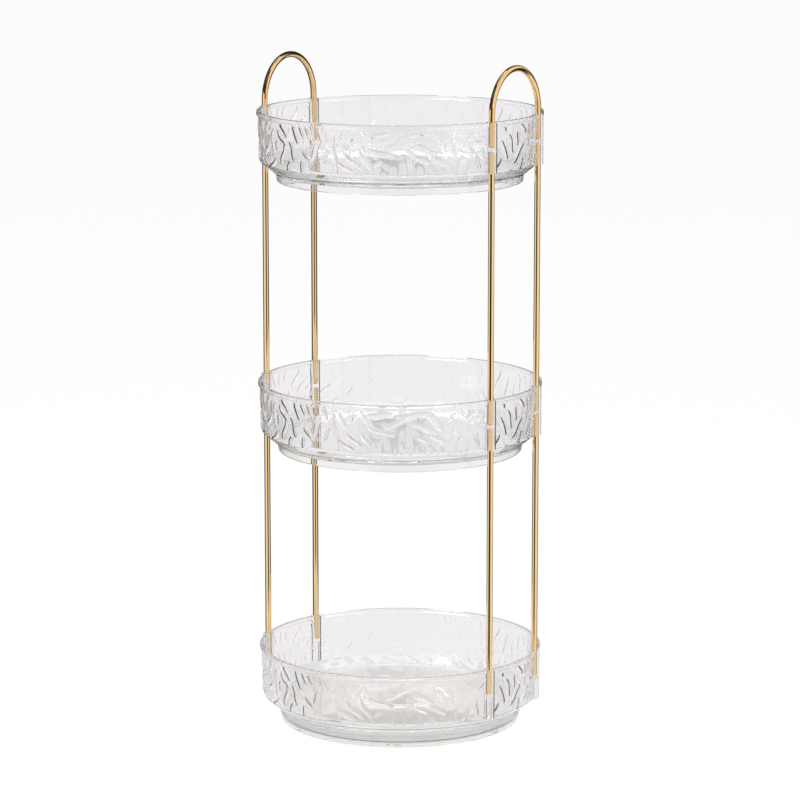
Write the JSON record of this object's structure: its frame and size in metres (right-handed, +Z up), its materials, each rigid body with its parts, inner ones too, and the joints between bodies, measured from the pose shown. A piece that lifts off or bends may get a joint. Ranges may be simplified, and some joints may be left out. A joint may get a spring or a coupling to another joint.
{
  "type": "rotating makeup organizer",
  "caption": "Tower of round clear trays with a rippled wall, joined by gold rods with hoop handles on top, turning on a ball-bearing base.",
  "frame": {"origin": "bottom centre, on the surface that the pads stand on", "axes": "+Z up along the turning axis; the hoop handles stand over -X and +X; -Y is the front"},
  "size_m": [0.235, 0.235, 0.5543],
  "materials": {
    "clear_tray_plastic": "clear polished moulding with a rippled outside",
    "clear_base_plastic": "clear polished moulding",
    "cage_plastic": "natural translucent moulding",
    "ball_acetal": "white ground acetal",
    "washer_steel": "zinc plated",
    "screw_steel": "zinc plated",
    "pad_rubber": "milky soft pad",
    "gold_hoop_metal": "bright gold plating",
    "gold_rod_metal": "bright gold plating"
  },
  "bodies": {
    "base": {"turntable_base": "clear_base_plastic", "non_slip_pad_1": "pad_rubber", "non_slip_pad_2": "pad_rubber", "non_slip_pad_3": "pad_rubber", "non_slip_pad_4": "pad_rubber", "non_slip_pad_5": "pad_rubber", "non_slip_pad_6": "pad_rubber"},
    "bearing": {"ball_cage": "cage_plastic", "bearing_balls": "ball_acetal"},
    "carousel": {"bottom_tray": "clear_tray_plastic", "middle_tray": "clear_tray_plastic", "top_tray": "clear_tray_plastic", "lower_rod_left_front": "gold_rod_metal", "lower_rod_left_rear": "gold_rod_metal", "lower_rod_right_front": "gold_rod_metal", "lower_rod_right_rear": "gold_rod_metal", "upper_rod_left_front": "gold_rod_metal", "upper_rod_left_rear": "gold_rod_metal", "upper_rod_right_front": "gold_rod_metal", "upper_rod_right_rear": "gold_rod_metal", "left_hoop_handle": "gold_hoop_metal", "right_hoop_handle": "gold_hoop_metal", "pivot_washer": "washer_steel", "pivot_screw": "screw_steel"}
  },
  "joints": [
    {"name": "turntable_spin", "type": "hinge", "parent": "base", "child": "carousel", "pos_m": [0, 0, 0.0099], "axis": [0, 0, 1], "continuous": true},
    {"name": "bearing_creep", "type": "hinge", "parent": "base", "child": "bearing", "pos_m": [0, 0, 0.0099], "axis": [0, 0, 1], "continuous": true}
  ],
  "couplings": [
    {"joint": "bearing_creep", "follows": "turntable_spin", "ratio": 0.5}
  ]
}
